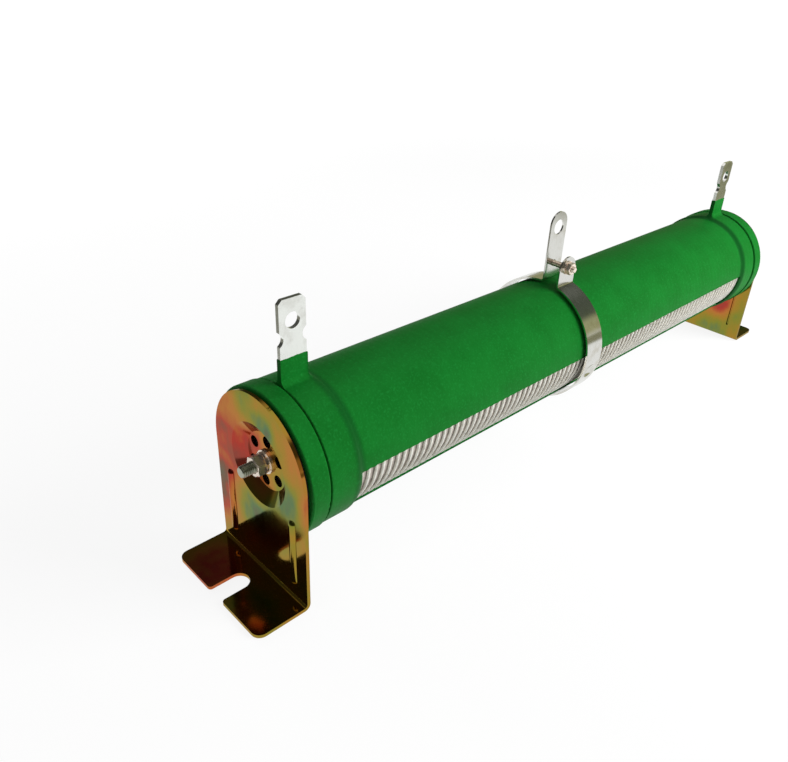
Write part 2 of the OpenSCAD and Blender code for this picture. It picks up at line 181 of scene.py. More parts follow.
class Graph:
    """Node tree of a material or of the world."""

    def __init__(self, tree: bpy.types.NodeTree) -> None:
        """Empty a tree to draw in it."""
        self.tree = tree
        self.tree.nodes.clear()

    def add(
        self,
        kind: str,
        settings: Optional[Mapping[str, Any]] = None,
        sockets: Optional[Mapping[Union[str, int], Operand]] = None,
    ) -> Signal:
        """Add one node.

        Args:
            kind: Type name of the node.
            settings: Properties of the node, set before its sockets; "stops" are a ramp's stops.
            sockets: Value or link of each input socket, by name or number.

        Returns:
            The node's first enabled output, or its first input where it has no output.
        """
        node = self.tree.nodes.new(kind)
        for name, value in (settings or {}).items():
            if name == "stops":
                self._set_stops(node, value)
            else:
                setattr(node, name, value)
        for key, value in (sockets or {}).items():
            socket = self._input(node, key)
            if isinstance(value, Signal):
                self.tree.links.new(value.socket, socket)
            else:
                socket.default_value = self._fit(value, socket)
        outputs = [s for s in node.outputs if s.enabled]
        return Signal(self, outputs[0] if outputs else node.inputs[0])

    @staticmethod
    def _set_stops(node: bpy.types.Node, stops: Sequence[Stop]) -> None:
        """Give a ramp its stops.

        Args:
            node: Node that holds the ramp.
            stops: Place and colour of each stop, in order.
        """
        elements = node.color_ramp.elements
        while len(elements) < len(stops):
            elements.new(1.0)
        for element, (place, colour) in zip(elements, stops):
            element.position = place
            element.color = (*colour, 1.0)

    @staticmethod
    def _input(node: bpy.types.Node, key: Union[str, int]) -> bpy.types.NodeSocket:
        """Find an input socket.

        Args:
            node: Node that has the socket.
            key: Number of the socket, or the name of an enabled one.

        Returns:
            The socket.
        """
        if isinstance(key, int):
            return node.inputs[key]
        return next(s for s in node.inputs if s.name == key and s.enabled)

    @staticmethod
    def _fit(value: Operand, socket: bpy.types.NodeSocket) -> Operand:
        """Add alpha to a colour where the socket wants one.

        Args:
            value: Value to set.
            socket: Socket that takes it.

        Returns:
            The value in the socket's form.
        """
        if socket.type == "RGBA" and len(value) == 3:
            return (*value, 1.0)
        return value

    def place(self) -> Signal:
        """Point of the surface in its object's frame, which is the solids' frame."""
        return self.add("ShaderNodeTexCoord").out("Object")

    def axes(self, point: Signal) -> tuple[Signal, Signal, Signal]:
        """X, Y and Z of a point."""
        split = self.add("ShaderNodeSeparateXYZ", None, {"Vector": point})
        return split, split.out("Y"), split.out("Z")

    def stretch(self, point: Signal, factors: Colour) -> Signal:
        """Point with each axis multiplied by a factor."""
        return self.add("ShaderNodeVectorMath", {"operation": "MULTIPLY"}, {0: point, 1: factors})

    def distance(self, point: Signal, middle: Colour) -> Signal:
        """Distance of a point from another."""
        between = self.add("ShaderNodeVectorMath", {"operation": "DISTANCE"}, {0: point, 1: middle})
        return between.out("Value")

    def along(self, point: Signal, direction: Colour) -> Signal:
        """How far a point lies along a direction."""
        dot = self.add("ShaderNodeVectorMath", {"operation": "DOT_PRODUCT"}, {0: point, 1: direction})
        return dot.out("Value")

    def cloud(self, point: Signal, grain: float, detail: float = 3.0, roughness: float = 0.5) -> Signal:
        """Noise with features of a given size.

        Args:
            point: Where the noise is read.
            grain: Size of the features.
            detail: Octaves of finer noise.
            roughness: Share of the finer octaves.

        Returns:
            Value about 0.5.
        """
        return self.add(
            "ShaderNodeTexNoise", None,
            {"Vector": point, "Scale": 1.0 / grain, "Detail": detail, "Roughness": roughness},
        )

    def mix(self, factor: Operand, low: Operand, high: Operand) -> Signal:
        """Blend of two colours.

        Args:
            factor: Share of the second colour.
            low: Colour at 0.
            high: Colour at 1.

        Returns:
            The blended colour.
        """
        return self.add(
            "ShaderNodeMix", {"data_type": "RGBA"}, {"Factor": factor, "A": low, "B": high}
        )

    def stops(self, value: Signal, stops: Sequence[Stop]) -> Signal:
        """Colour that a value picks from a ramp."""
        return self.add("ShaderNodeValToRGB", {"stops": stops}, {"Fac": value})

    def bump(self, height: Signal, depth: float, strength: float = 1.0) -> Signal:
        """Normal of a surface with a relief of a given depth."""
        return self.add(
            "ShaderNodeBump", None, {"Height": height, "Distance": depth, "Strength": strength}
        )


@dataclass(frozen=True)
class Finish(ABC):
    """Look of one kind of surface."""

    name: str

    @abstractmethod
    def paint(self, graph: Graph) -> Mapping[str, Operand]:
        """Draw the surface's nodes.

        Args:
            graph: Tree to draw in.

        Returns:
            Values and links of the surface shader's sockets.
        """

    def material(self) -> bpy.types.Material:
        """Make the finish's material, once.

        Returns:
            The material.
        """
        made = bpy.data.materials.get(self.name)
        if made is None:
            made = bpy.data.materials.new(self.name)
            made.use_nodes = True
            graph = Graph(made.node_tree)
            surface = graph.add("ShaderNodeBsdfPrincipled", None, self.paint(graph))
            graph.add("ShaderNodeOutputMaterial", None, {"Surface": surface})
        return made


@dataclass(frozen=True)
class GreenEnamel(Finish):
    """Satin fired enamel, faintly ribbed by the winding, with painted shade under it and on the end slopes.
    """

    deep: Colour = (0.003, 0.132, 0.012)
    lit: Colour = (0.0045, 0.16, 0.0165)
    worn: Colour = (0.013, 0.25, 0.04)
    # Colour of the painted shade on the slopes beside the lugs and on the underside.
    painted_shade: Colour = (0.0015, 0.055, 0.008)
    cloud_size: float = 18 * MM
    cloud_limits: Limits = (0.3, 0.7)
    grain: float = 0.9 * MM
    wear_limits: Limits = (0.48, 0.8)
    wear_share: float = 0.5
    # Where and how strongly the painted shade falls: the slopes beside the lugs and the underside.
    slope_x: float = 159.2 * MM
    slope_limits: Limits = (3.6 * MM, 0.72 * MM)
    slope_share: float = 0.7
    belly_limits: Limits = (35 * MM, 31 * MM)
    belly_share: float = 0.85
    rib_pitch: float = 3.85 * MM
    rib_share: float = 0.2
    relief: float = 0.1 * MM
    relief_strength: float = 0.6
    roughness: float = 0.5
    roughness_drift: float = 0.14
    specular: float = 0.14

    def paint(self, graph: Graph) -> Mapping[str, Operand]:
        """Draw clouds of green, a fine grain, the ribs and painted shade on the end slopes and underside.

        Args:
            graph: Tree to draw in.

        Returns:
            Values and links of the surface shader's sockets.
        """
        point = graph.place()
        along, _, height = graph.axes(point)
        clouds = graph.cloud(point, self.cloud_size, detail=4.0, roughness=0.6)
        grain = graph.cloud(point, self.grain, detail=2.0)
        ribs = (along * (2 * math.pi / self.rib_pitch)).sine()
        colour = graph.mix(clouds.ramp(*self.cloud_limits), self.deep, self.lit)
        colour = graph.mix(grain.ramp(*self.wear_limits) * self.wear_share, colour, self.worn)
        # Painted shade: the slopes beside the lugs and the tube's underside go darker.
        slope = abs(abs(along) - self.slope_x).ramp(*self.slope_limits) * self.slope_share
        belly = height.ramp(*self.belly_limits) * self.belly_share
        colour = graph.mix(slope.at_least(belly), colour, self.painted_shade)
        return {
            "Base Color": colour,
            "Roughness": self.roughness + self.roughness_drift * clouds,
            "Specular IOR Level": self.specular,
            "Normal": graph.bump(ribs * self.rib_share + grain, self.relief, self.relief_strength),
        }


@dataclass(frozen=True)
class BareWire(Finish):
    """Alloy wire scraped bare, with dull and bright patches."""

    bright: Colour = (0.9, 0.89, 0.82)
    dull: Colour = (0.76, 0.74, 0.66)
    patch: float = 2.5 * MM
    patch_limits: Limits = (0.4, 0.7)
    metallic: float = 0.25
    roughness: float = 0.35
    roughness_drift: float = 0.2

    def paint(self, graph: Graph) -> Mapping[str, Operand]:
        """Draw bright and dull patches.

        Args:
            graph: Tree to draw in.

        Returns:
            Values and links of the surface shader's sockets.
        """
        patches = graph.cloud(graph.place(), self.patch)
        return {
            "Base Color": graph.mix(patches.ramp(*self.patch_limits), self.bright, self.dull),
            "Metallic": self.metallic,
            "Roughness": self.roughness + self.roughness_drift * patches,
        }


@dataclass(frozen=True)
class FiredClay(Finish):
    """Rough fired clay with scale and enamel dust in it."""

    pale: Colour = (0.58, 0.525, 0.475)
    dark: Colour = (0.44, 0.39, 0.345)
    patch: float = 4 * MM
    patch_limits: Limits = (0.35, 0.75)
    grain: float = 0.4 * MM
    relief: float = 0.08 * MM
    roughness: float = 0.8
    roughness_drift: float = 0.15
    specular: float = 0.2

    def paint(self, graph: Graph) -> Mapping[str, Operand]:
        """Draw patches and a sandy grain.

        Args:
            graph: Tree to draw in.

        Returns:
            Values and links of the surface shader's sockets.
        """
        point = graph.place()
        patches = graph.cloud(point, self.patch, detail=4.0)
        grain = graph.cloud(point, self.grain, detail=2.0)
        return {
            "Base Color": graph.mix(patches.ramp(*self.patch_limits), self.pale, self.dark),
            "Roughness": self.roughness + self.roughness_drift * grain,
            "Specular IOR Level": self.specular,
            "Normal": graph.bump(grain, self.relief),
        }


@dataclass(frozen=True)
class YellowZinc(Finish):
    """Bright zinc under a thin yellow film whose colour drifts with its thickness."""

    film: tuple[Stop, ...] = (
        (0.0, (0.36, 0.22, 0.03)),
        (0.2, (0.48, 0.18, 0.04)),
        (0.38, (0.42, 0.05, 0.035)),
        (0.5, (0.2, 0.075, 0.055)),
        (0.62, (0.13, 0.11, 0.085)),
        (0.74, (0.11, 0.2, 0.09)),
        (0.87, (0.24, 0.24, 0.035)),
        (1.0, (0.36, 0.22, 0.03)),
    )
    # The left plate and its dish, the left foot, the right plate and the right foot.
    pools: tuple[Pool, ...] = (
        ((-PLATE_X, 20 * MM, 54 * MM), 24 * MM, 0.42),
        ((-PLATE_X, 33 * MM, 26 * MM), 23 * MM, 0.52),
        ((-181 * MM, 3 * MM, 58 * MM), 12 * MM, 0.18),
        ((-180 * MM, 2 * MM, 40 * MM), 11 * MM, 0.36),
        ((-PLATE_X, 24 * MM, 80 * MM), 17 * MM, 0.2),
        ((-PLATE_X, 6 * MM, 79 * MM), 11 * MM, -0.15),
        ((-PLATE_X, -5 * MM, 73 * MM), 10 * MM, -0.26),
        ((-PLATE_X, -28 * MM, 70 * MM), 14 * MM, 0.15),
        ((-PLATE_X, 1 * MM, 30 * MM), 21 * MM, -0.26),
        ((-PLATE_X, -19 * MM, 46 * MM), 15 * MM, -0.26),
        ((-PLATE_X, -33 * MM, 48 * MM), 13 * MM, 0.3),
        ((-PLATE_X, 26 * MM, 37 * MM), 10 * MM, 0.11),
        ((-PLATE_X, 21 * MM, 55 * MM), 8 * MM, -0.07),
        ((-202 * MM, 14 * MM, 0.0), 20 * MM, 0.36),
        ((PLATE_X, -12 * MM, 24 * MM), 16 * MM, 0.38),
        ((PLATE_X, -12 * MM, 2 * MM), 15 * MM, -0.16),
        ((PLATE_X, -32 * MM, 20 * MM), 18 * MM, -0.09),
        ((PLATE_X, 14 * MM, 60 * MM), 24 * MM, 0.4),
        ((208 * MM, -10 * MM, 0.0), 22 * MM, -0.3),
    )
    pool_core: float = 0.25
    blotch: float = 13 * MM
    blotch_share: float = 0.36
    run: float = 4 * MM
    run_stretch: Colour = (1.0, 1.0, 0.35)
    run_share: float = 0.2
    thinning: float = 0.28
    wave: float = 5 * MM
    wave_depth: float = 0.05 * MM
    wave_strength: float = 0.35
    roughness: float = 0.06
    roughness_drift: float = 0.1
    edge_tint: Colour = (0.8, 0.75, 0.65)

    def paint(self, graph: Graph) -> Mapping[str, Operand]:
        """Draw the film's pools, blotches and runs, and the sheet's faint waves.

        Args:
            graph: Tree to draw in.

        Returns:
            Values and links of the surface shader's sockets.
        """
        point = graph.place()
        blotches = graph.cloud(point, self.blotch, detail=2.0)
        runs = graph.cloud(graph.stretch(point, self.run_stretch), self.run)
        waves = graph.cloud(point, self.wave, detail=1.0)
        thickness = blotches * self.blotch_share + runs * self.run_share - self.thinning
        for middle, reach, depth in self.pools:
            pool = graph.distance(point, middle).ramp(reach, reach * self.pool_core)
            thickness = thickness + pool * depth
        return {
            "Base Color": graph.stops(thickness.math("FRACT"), self.film),
            "Metallic": 1.0,
            "Roughness": self.roughness + self.roughness_drift * runs,
            "Specular Tint": self.edge_tint,
            "Normal": graph.bump(waves, self.wave_depth, self.wave_strength),
        }


@dataclass(frozen=True)
class PlatedMetal(Finish):
    """Plated metal with faint stains and a rolled or turned grain."""

    bright: Colour
    stained: Colour
    roughness: float
    metallic: float = 1.0
    stain: float = 6 * MM
    stain_limits: Limits = (0.45, 0.8)
    scuff: float = 1.2 * MM
    scuff_stretch: Colour = (1.0, 0.2, 0.2)
    scuff_least: float = 0.7
    scuff_drift: float = 0.6
    relief: float = 0.02 * MM
    relief_strength: float = 0.5

    def paint(self, graph: Graph) -> Mapping[str, Operand]:
        """Draw stains and faint scuffs.

        Args:
            graph: Tree to draw in.

        Returns:
            Values and links of the surface shader's sockets.
        """
        point = graph.place()
        stains = graph.cloud(point, self.stain, detail=4.0)
        scuffs = graph.cloud(graph.stretch(point, self.scuff_stretch), self.scuff, detail=2.0)
        return {
            "Base Color": graph.mix(stains.ramp(*self.stain_limits), self.bright, self.stained),
            "Metallic": self.metallic,
            "Roughness": self.roughness * (self.scuff_least + self.scuff_drift * scuffs),
            "Normal": graph.bump(scuffs, self.relief, self.relief_strength),
        }


@dataclass(frozen=True)
class FibreSheet(Finish):
    """Dark pressed fibre."""

    dark: Colour = (0.012, 0.011, 0.01)
    pale: Colour = (0.06, 0.05, 0.04)
    strand: float = 1.5 * MM
    strand_stretch: Colour = (1.0, 3.0, 1.0)
    strand_limits: Limits = (0.4, 0.75)
    relief: float = 0.05 * MM
    roughness: float = 0.85
    roughness_drift: float = 0.1

    def paint(self, graph: Graph) -> Mapping[str, Operand]:
        """Draw short strands.

        Args:
            graph: Tree to draw in.

        Returns:
            Values and links of the surface shader's sockets.
        """
        strands = graph.cloud(graph.stretch(graph.place(), self.strand_stretch), self.strand)
        return {
            "Base Color": graph.mix(strands.ramp(*self.strand_limits), self.dark, self.pale),
            "Roughness": self.roughness + self.roughness_drift * strands,
            "Normal": graph.bump(strands, self.relief),
        }


ENAMEL = GreenEnamel("green_enamel")
WIRE = BareWire("bare_wire")
CLAY = FiredClay("fired_clay")
YELLOW_ZINC = YellowZinc("yellow_zinc")
TIN = PlatedMetal(
    "tin_plate", bright=(0.92, 0.93, 0.9), stained=(0.72, 0.71, 0.67), roughness=0.24
)
NICKEL = PlatedMetal(
    "nickel_plate", bright=(0.76, 0.75, 0.72), stained=(0.6, 0.57, 0.5), roughness=0.14
)
ZINC = PlatedMetal(
    "zinc_plate", bright=(0.96, 0.83, 0.72), stained=(0.84, 0.72, 0.62), roughness=0.16, metallic=0.7
)
STEEL = PlatedMetal(
    "drawn_steel", bright=(0.4, 0.41, 0.33), stained=(0.28, 0.29, 0.23), roughness=0.3
)
FIBRE = FibreSheet("fibre_sheet")


def round_point(x: float, radius: float, angle: float, axis_z: float) -> Vector:
    """Point round the tube.

    Args:
        x: Place along the tube.
        radius: Distance from the tube's axis.
        angle: Angle above the front.
        axis_z: Height of the tube's axis.

    Returns:
        The point.
    """
    return Vector((x, -radius * math.cos(angle), axis_z + radius * math.sin(angle)))


def dress(node: str, finish: Finish) -> None:
    """Give a solid its finish.

    Args:
        node: Name of the solid.
        finish: Look of its surface.
    """
    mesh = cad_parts[node].data
    mesh.materials.clear()
    mesh.materials.append(finish.material())
    LOG.info("%s: dressed in %s", node, finish.name)


class Skin:
    """Mesh in the making: points and the faces between them."""

    def __init__(self) -> None:
        """Start empty."""
        self.points: list[Vector] = []
        self.faces: list[tuple[int, ...]] = []

    def row(self, points: Sequence[Vector]) -> list[int]:
        """Add points.

        Args:
            points: Points to add.

        Returns:
            Their numbers.
        """
        first = len(self.points)
        self.points.extend(points)
        return list(range(first, first + len(points)))

    def loft(self, rows: Sequence[Sequence[int]], ring: bool) -> None:
        """Join each row to the next with quads.

        Args:
            rows: Numbers of the rows' points.
            ring: Whether the last point of a row joins its first.
        """
        for low, high in zip(rows, rows[1:]):
            count = len(low)
            for i in range(count if ring else count - 1):
                j = (i + 1) % count
                self.faces.append((low[i], low[j], high[j], high[i]))

    def cap(self, row: Sequence[int], outwards: bool) -> None:
        """Close a ring of points with one face."""
        self.faces.append(tuple(row) if outwards else tuple(reversed(row)))

    def piece(
        self, name: str, finish: Finish, body: Body, slot: Slot, crease: float = math.pi
    ) -> bpy.types.Object:
        """Make the object.

        Args:
            name: Name of the piece.
            finish: Look of its surface.
            body: Rigid body that it rides on.
            slot: Material slot meant for the piece; not used.
            crease: Least angle between two faces that is shown as an edge.

        Returns:
            The object, in place.
        """
        mesh = bpy.data.meshes.new(name)
        mesh.from_pydata(self.points, [], self.faces)
        mesh.update()
        mesh.shade_smooth()
        mesh.set_sharp_from_angle(angle=crease)
        mesh.materials.append(finish.material())
        made = bpy.data.objects.new(name, mesh)
        bpy.context.scene.collection.objects.link(made)
        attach(made, body.value)
        LOG.info("%s: %d faces", name, len(self.faces))
        return made


class Assembly(ABC):
    """Pieces that are built and dressed together."""

    @abstractmethod
    def build(self) -> None:
        """Make the pieces that the scene draws itself."""

    @abstractmethod
    def dress(self) -> None:
        """Give the solids their finishes."""


@dataclass
class Winding(Assembly):
    """Ceramic tube and the wire wound on it."""

    turns: int = 83
    wire_d: float = 1.4 * MM
    strip_angle: float = math.radians(-23)
    steps_per_turn: int = 72
    sides: int = 8
    lead_turns: float = 0.45

    def __post_init__(self) -> None:
        """Take the sizes from the solids."""
        low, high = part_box("resistance_wire")
        self.axis_z = (low.z + high.z) / 2
        self.wire_r = self.wire_d / 2
        self.ring_r = (high.z - low.z) / 2 - self.wire_r
        self.first_x = low.x + self.wire_r
        self.pitch = (high.x - low.x - self.wire_d) / (self.turns - 1)

    def build(self) -> None:
        """Wind the wire as one helix that crosses the strip where the solid's turns do."""
        skin = Skin()
        rows = []
        start = -self.lead_turns
        total = self.turns - 1 + 2 * self.lead_turns
        steps = round(total * self.steps_per_turn)
        for i in range(steps + 1):
            turn = start + total * i / steps
            angle = self.strip_angle + 2 * math.pi * turn
            rows.append(skin.row(self._section(self.first_x + turn * self.pitch, angle)))
        skin.loft(rows, ring=True)
        skin.cap(rows[0], outwards=False)
        skin.cap(rows[-1], outwards=True)
        wire = skin.piece("wire_helix", WIRE, Body.RESISTOR, Slot.WIRE)
        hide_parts("resistance_wire")

    def _section(self, x: float, angle: float) -> list[Vector]:
        """Ring of points round the wire at one place of the helix.

        Args:
            x: Place along the tube.
            angle: Angle round the tube.

        Returns:
            The points.
        """
        section = []
        for k in range(self.sides):
            turn = 2 * math.pi * k / self.sides
            out = self.ring_r + self.wire_r * math.cos(turn)
            section.append(round_point(x + self.wire_r * math.sin(turn), out, angle, self.axis_z))
        return section

    def dress(self) -> None:
        """Finish the tube."""
        dress("ceramic_tube", CLAY)


@dataclass
class Coating(Assembly):
    """Green enamel, with the ragged lip that it leaves along the bare strip."""

    winding: Winding
    thickness: float = 2 * MM
    strip_width: float = 25.2 * MM
    lip_at_wire: float = 0.15 * MM
    lip_at_gap: float = 1.1 * MM
    lip_drop: float = 0.03 * MM
    ragged: float = 0.3 * MM
    ragged_rate: float = 1.7
    ragged_seed: float = 9.0
    steps_per_turn: int = 12
    lip_rows: int = 5

    def __post_init__(self) -> None:
        """Take the sizes from the solids."""
        low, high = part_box("ceramic_tube")
        self.outer_r = (high.z - low.z) / 2 + self.thickness
        self.half_span = self.strip_width / self.outer_r / 2

    def build(self) -> None:
        """Draw a lip along each long edge of the strip."""
        for name, side in (("enamel_lip_upper", 1), ("enamel_lip_lower", -1)):
            self._lip(side).piece(name, ENAMEL, Body.RESISTOR, Slot.ENAMEL)

    def _lip(self, side: int) -> Skin:
        """Lip along one edge of the strip.

        Args:
            side: 1 for the upper edge, -1 for the lower.

        Returns:
            The lip's skin, from the enamel's edge down to the tube.
        """
        wound = self.winding
        edge = wound.strip_angle + side * self.half_span
        count = (wound.turns - 1) * self.steps_per_turn
        skin = Skin()
        rows = []
        for i in range(count + 1):
            x = wound.first_x + wound.pitch * i / self.steps_per_turn
            rows.append(skin.row(self._lip_profile(x, i / self.steps_per_turn, edge, side)))
        skin.loft(rows if side > 0 else rows[::-1], ring=False)
        return skin

    def _lip_profile(self, x: float, turn: float, edge: float, side: int) -> list[Vector]:
        """Points across the lip at one place along the strip.

        Args:
            x: Place along the tube.
            turn: Turns of wire from the first one.
            edge: Angle of the enamel's edge.
            side: 1 for the upper edge, -1 for the lower.

        Returns:
            The points, from the enamel's edge down to the tube.
        """
        between = math.sin(math.pi * turn) ** 2
        reach = self.lip_at_wire + (self.lip_at_gap - self.lip_at_wire) * between
        place = Vector((turn * self.ragged_rate, side * self.ragged_seed, 0.0))
        reach += self.ragged * between * noise.noise(place)
        profile = []
        for k in range(self.lip_rows + 1):
            bend = k / self.lip_rows * math.pi / 2
            drop = self.lip_drop + (self.thickness - self.lip_drop) * (1 - math.cos(bend))
            angle = edge - side * reach * math.sin(bend) / self.outer_r
            profile.append(round_point(x, self.outer_r - drop, angle, self.winding.axis_z))
        return profile

    def dress(self) -> None:
        """Finish the coat."""
        dress("enamel_coating", ENAMEL)


@dataclass(frozen=True)
class Thread:
    """Screw thread on a round rod."""

    radius: float
    pitch: float
    depth: float
    chamfer: float
    flank: float = 1.25
    sides: int = 24
    steps_per_pitch: int = 8
    crease: float = math.radians(40)

    def wind(self, skin: Skin, start: Vector, along: Vector, length: float) -> list[list[int]]:
        """Add the thread's rows.

        Args:
            skin: Skin to add to.
            start: Where the thread starts, on the rod's axis.
            along: Unit direction in which it runs.
            length: Length of the thread.

        Returns:
            The rows' numbers, from the start to the tip.
        """
        side = along.orthogonal().normalized()
        across = along.cross(side)
        count = round(length / self.pitch * self.steps_per_pitch)
        rows = []
        for i in range(count + 1):
            far = length * i / count
            ring = []
            for k in range(self.sides):
                angle = 2 * math.pi * k / self.sides
                outwards = side * math.cos(angle) + across * math.sin(angle)
                ring.append(start + along * far + outwards * self._radius(far, angle, length))
            rows.append(skin.row(ring))
        return rows

    def _radius(self, far: float, angle: float, length: float) -> float:
        """Radius of the thread at one point, cut down at its tip.

        Args:
            far: Distance from the thread's start.
            angle: Angle round the rod.
            length: Length of the thread.

        Returns:
            The radius.
        """
        phase = (far / self.pitch - angle / (2 * math.pi)) % 1.0
        crest = min(1.0, abs(2 * phase - 1) * self.flank)
        tip = min(1.0, (length - far) / self.chamfer)
        return min(self.radius - self.depth * (1 - crest), self.radius - self.depth * (1 - tip))


@dataclass
class TieRod(Assembly):
    """Long rod through the tube, with its washers and nuts."""

    thread: Thread = Thread(radius=2.5 * MM, pitch=0.8 * MM, depth=0.45 * MM, chamfer=0.5 * MM)
    threaded: float = 18 * MM
    nut_face: float = 0.95
    nut_sink: float = 0.2 * MM
    nut_chamfer: float = math.radians(30)
    nut_flats: int = 6
    nut_steps: int = 10
    nut_crease: float = math.radians(25)

    def __post_init__(self) -> None:
        """Take the sizes from the solid."""
        low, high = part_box("tie_rod")
        self.half_length = high.x
        self.axis_z = (low.z + high.z) / 2

    def build(self) -> None:
        """Make the rod and the nuts."""
        self._rod()
        for end in End:
            self._nut(end)

    def _rod(self) -> None:
        """Make the rod with a thread at each end."""
        skin = Skin()
        rows = []
        for end in End:
            start = Vector((end.value * (self.half_length - self.threaded), 0.0, self.axis_z))
            along = Vector((end.value, 0.0, 0.0))
            ends = self.thread.wind(skin, start, along, self.threaded)
            skin.loft(ends, ring=True)
            skin.cap(ends[-1], outwards=True)
            rows.append(ends[0])
        left, right = rows
        across = [point.yz for point in skin.points]
        matched = [min(right, key=lambda j: (across[i] - across[j]).length) for i in left]
        skin.loft([matched, left], ring=True)
        rod = skin.piece("threaded_tie_rod", STEEL, Body.RESISTOR, Slot.HARDWARE, self.thread.crease)
        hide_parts("tie_rod")

    def _nut(self, end: End) -> None:
        """Make a nut with a corner up, chamfered corners and a countersunk thread.

        Args:
            end: End of the rod that it sits on.
        """
        node = f"hex_nut_{end.suffix}"
        low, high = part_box(node)
        flat_r = min(high.y - low.y, high.z - low.z) / 2
        face_r = flat_r * self.nut_face
        hole_r = self.thread.radius - self.thread.depth / 2
        sink_r = self.thread.radius + self.nut_sink
        depth = high.x - low.x
        sink = sink_r - hole_r
        flat_angle = 2 * math.pi / self.nut_flats
        profiles = []
        for i in range(self.nut_flats * self.nut_steps):
            angle = flat_angle * i / self.nut_steps
            corner = flat_r / math.cos(angle % flat_angle - flat_angle / 2)
            drop = (corner - face_r) * math.tan(self.nut_chamfer)
            outline = (
                (sink, hole_r), (0.0, sink_r), (0.0, face_r), (drop, corner),
                (depth - drop, corner), (depth, face_r), (depth, sink_r), (depth - sink, hole_r),
            )
            across, up = math.sin(angle), math.cos(angle)
            profiles.append([
                Vector((low.x + far, radius * across, self.axis_z + radius * up)) for far, radius in outline
            ])
        skin = Skin()
        rows = [skin.row(level) for level in zip(*profiles)]
        skin.loft([rows[0], *reversed(rows)], ring=True)
        name = f"chamfered_nut_{end.suffix}"
        nut = skin.piece(name, ZINC, Body.RESISTOR, Slot.HARDWARE, self.nut_crease)
        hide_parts(node)

    def dress(self) -> None:
        """Finish the washers."""
        for end in End:
            for node in ("flat_washer", "lock_washer"):
                dress(f"{node}_{end.suffix}", ZINC)


@dataclass
class EndFittings(Assembly):
    """Bracket, gasket and terminal band at one end, with the enamel at the root of its lug."""

    end: End
    winding: Winding
    coat: float = 0.25 * MM
    shoulder_r: float = 31 * MM
    slope_length: float = 4 * MM
    slope_drop: float = 1 * MM
    lug_half_t: float = 0.9 * MM
    coat_top: float = 95.3 * MM
    fillet: float = 3 * MM
    sink: float = 0.1 * MM
    root_steps: int = 24
    fillet_rows: int = 8
    line_rise: float = 0.55 * MM
    line_mean: float = 0.6
    line_swing: float = 0.8
    line_waves: float = 3.0
    line_seed: float = 5.0
    line_bend_out: float = 0.8
    line_bend_rise: float = 0.4
    line_edge_out: float = 0.1
    line_steps: int = 96
    line_crease: float = math.radians(50)

    def __post_init__(self) -> None:
        """Take the lug's place and width from the solid."""
        low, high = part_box(f"terminal_band_{self.end.suffix}")
        self.x = (low.x + high.x) / 2
        self.half_w = (high.x - low.x) / 2
        self.inwards = -self.end.value

    def build(self) -> None:
        """Make the enamel's fillet and its uneven upper line on the lug."""
        self._root()
        self._coat_line()

    def _root(self) -> None:
        """Fillet between the lug's inner edge and the slope beside it."""
        skin = Skin()
        rows = []
        for j in range(self.fillet_rows + 1):
            bend = math.pi / 2 * j / self.fillet_rows
            reach = self.fillet * (1 - math.cos(bend))
            height = (self.fillet + self.sink) * (1 - math.sin(bend)) - self.sink
            width = self.lug_half_t + self.coat + reach - self.sink
            row = []
            for i in range(self.root_steps + 1):
                turn = math.pi * i / self.root_steps
                out = reach * math.sin(turn)
                y = -width * math.cos(turn)
                ground = math.sqrt((self.shoulder_r - self._drop(out)) ** 2 - y ** 2)
                x = self.x + self.inwards * (self.half_w + self.coat - self.sink + out)
                row.append(Vector((x, y, self.winding.axis_z + ground + height)))
            rows.append(skin.row(row))
        skin.loft(rows[::-1] if self.inwards > 0 else rows, ring=False)
        skin.piece(f"lug_root_{self.end.suffix}", ENAMEL, Body.RESISTOR, Slot.ENAMEL)

    def _drop(self, out: float) -> float:
        """How far the slope has fallen: a round arc, then a hollow one.

        Args:
            out: Distance from the lug.

        Returns:
            The fall.
        """
        arc_r = (self.slope_length ** 2 + self.slope_drop ** 2) / (4 * self.slope_drop)
        if out < self.slope_length / 2:
            return arc_r - math.sqrt(arc_r ** 2 - out ** 2)
        left = self.slope_length - out
        return self.slope_drop - arc_r + math.sqrt(arc_r ** 2 - left ** 2)

    def _coat_line(self) -> None:
        """Thin the coat out upwards round the lug, to an uneven line."""
        skin = Skin()
        profiles = []
        for i in range(self.line_steps):
            turn = 2 * math.pi * i / self.line_steps
            round_x, round_y = self.line_waves * math.cos(turn), self.line_waves * math.sin(turn)
            place = Vector((round_x, round_y, self.line_seed * self.end.value))
            rise = self.line_rise * (self.line_mean + self.line_swing * noise.noise(place))
            profiles.append([
                self._outline(turn, self.coat, -self.coat),
                self._outline(turn, self.coat * self.line_bend_out, rise * self.line_bend_rise),
                self._outline(turn, self.coat * self.line_edge_out, rise),
            ])
        skin.loft([skin.row(row) for row in zip(*profiles)], ring=True)
        name = f"coat_line_{self.end.suffix}"
        skin.piece(name, ENAMEL, Body.RESISTOR, Slot.ENAMEL, self.line_crease)

    def _outline(self, turn: float, out: float, rise: float) -> Vector:
        """Point round the lug, near the top of its coat.

        Args:
            turn: Angle round the lug's section.
            out: Distance from the bare lug.
            rise: Height above the top of the coat.

        Returns:
            The point.
        """
        half_w, half_t = self.half_w + out, self.lug_half_t + out
        across, through = math.cos(turn), math.sin(turn)
        reach = max(abs(across), abs(through))
        x, y = half_w * across / reach, half_t * through / reach
        return Vector((self.x + x, y, self.coat_top + rise))

    def dress(self) -> None:
        """Finish the end's solids."""
        dress(f"bracket_{self.end.suffix}", YELLOW_ZINC)
        dress(f"gasket_{self.end.suffix}", FIBRE)
        dress(f"terminal_band_{self.end.suffix}", TIN)


